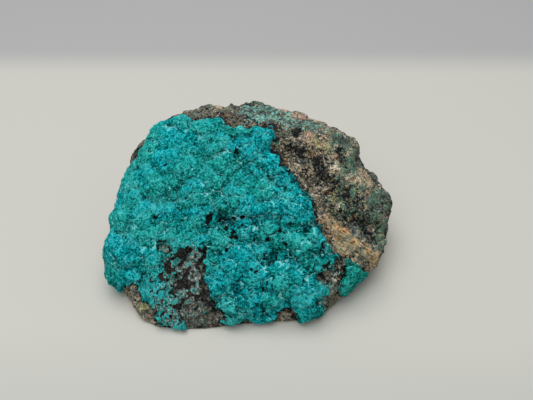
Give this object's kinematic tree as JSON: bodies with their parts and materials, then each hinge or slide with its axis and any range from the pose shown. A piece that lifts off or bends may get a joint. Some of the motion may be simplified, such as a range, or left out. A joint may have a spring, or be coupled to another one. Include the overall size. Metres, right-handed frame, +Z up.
{
  "type": "chrysocolla specimen",
  "caption": "Hand-sized piece of dark host rock whose broad sloping face carries a knobbly blue-green chrysocolla crust.",
  "frame": {"origin": "middle of the bounding box in plan, on the flat underside the specimen rests on", "axes": "+X along the length, +Z up; the broad crusted face looks towards -Y and up"},
  "size_m": [0.1032, 0.08, 0.0473],
  "materials": {
    "host_rock": "matte, rough, mottled",
    "chrysocolla": "matte to waxy, knobbly",
    "chrysocolla_side": "matte to waxy, knobbly"
  },
  "bodies": {
    "root": {"host_rock": "host_rock", "chrysocolla_crust": "chrysocolla", "side_crust": "chrysocolla_side"}
  },
  "joints": []
}
